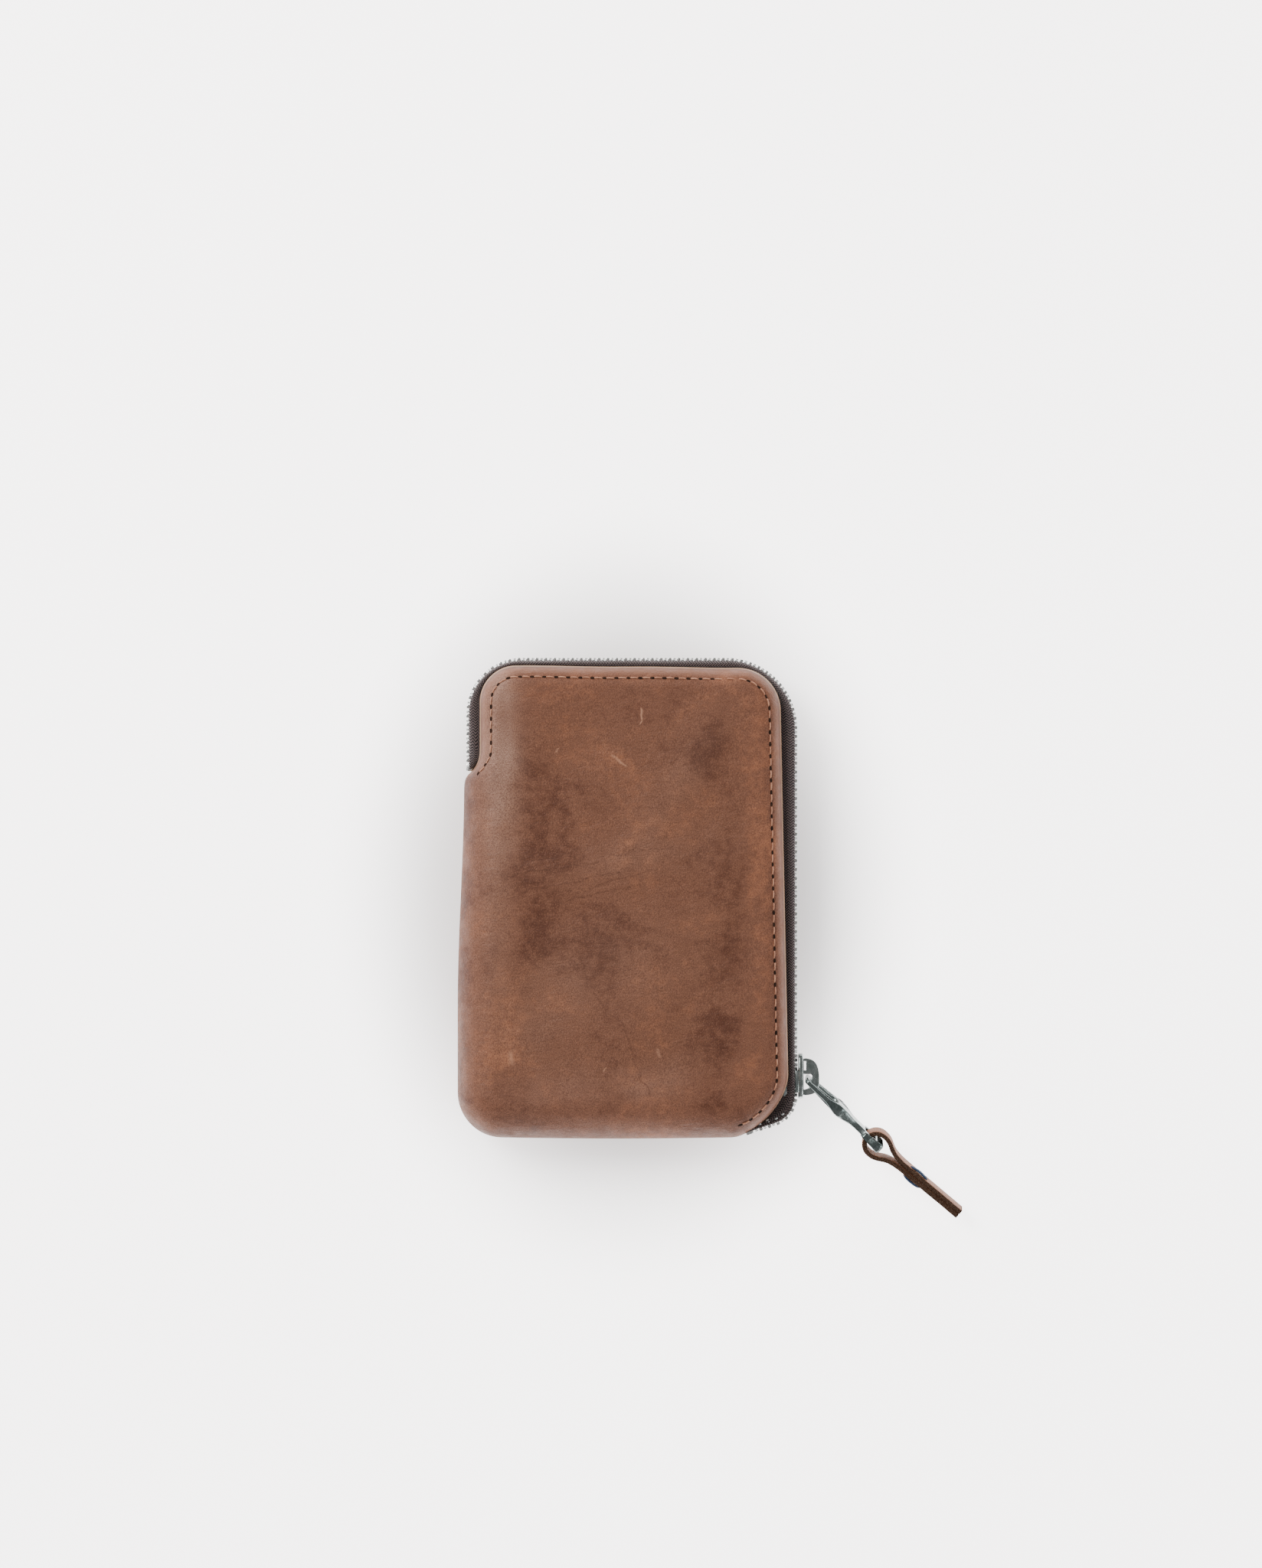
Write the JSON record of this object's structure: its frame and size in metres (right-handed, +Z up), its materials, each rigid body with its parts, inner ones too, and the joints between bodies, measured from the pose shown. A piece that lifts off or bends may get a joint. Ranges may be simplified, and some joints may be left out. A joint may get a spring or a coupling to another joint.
{
  "type": "zippered leather pouch",
  "caption": "Small folded leather pouch whose zip runs round the top and one side, with a slider, metal pull and leather strap.",
  "frame": {"origin": "centre of the resting plane, under the middle of the pouch's leather body", "axes": "+X from the folded spine towards the zip side, +Y towards the top edge, +Z up out of the front cover"},
  "size_m": [0.1169, 0.1298, 0.018],
  "materials": {
    "leather": "waxed pull-up leather, mottled, soft sheen",
    "flesh_leather": "undyed flesh side, matt",
    "pocket_leather": "smooth, soft sheen",
    "thread": "waxed thread, tan brown",
    "knot_thread": "waxed thread, navy",
    "zip_tape": "woven twill, dark charcoal",
    "zip_metal": "bright nickel",
    "pull_metal": "nickel, slightly dulled",
    "strap_leather": "vegetable tanned, raw dark edges"
  },
  "bodies": {
    "back_half": {"back_panel": "leather", "spine_fold": "leather", "front_panel_fixed": "leather", "seam_allowance_back": "flesh_leather", "seam_allowance_front": "flesh_leather", "seam_thread": "thread", "card_pocket": "pocket_leather", "stitches_back": "thread", "stitches_front_fixed": "thread", "zip_tape_back": "zip_tape", "zip_tape_front_fixed": "zip_tape", "zip_teeth_back": "zip_metal", "zip_teeth_front_fixed": "zip_metal", "zip_end_stops": "zip_metal"},
    "front_flap": {"front_panel_flap": "leather", "stitches_front_flap": "thread", "zip_tape_front_flap": "zip_tape", "zip_teeth_front_flap": "zip_metal"},
    "slider": {"slider": "zip_metal"},
    "pull": {"metal_pull": "pull_metal"},
    "strap": {"leather_strap": "strap_leather", "strap_knot": "knot_thread"}
  },
  "joints": [
    {"name": "flap_open", "type": "hinge", "parent": "back_half", "child": "front_flap", "pos_m": [-0.0381, 0.0274, 0.018], "axis": [0.7731, -0.6343, 0], "range_deg": [0, 40]},
    {"name": "slider_travel", "type": "slide", "parent": "back_half", "child": "slider", "axis": [0, 1, 0], "range_m": [0, 0.0745]},
    {"name": "pull_swing", "type": "hinge", "parent": "slider", "child": "pull", "pos_m": [0.04165, -0.042, 0.009], "axis": [0, 0, 1], "range_deg": [-32, 112]},
    {"name": "strap_swing", "type": "hinge", "parent": "pull", "child": "strap", "pos_m": [0.05762, -0.05689, 0.00632], "axis": [0, 0, 1], "range_deg": [-30, 30]}
  ]
}
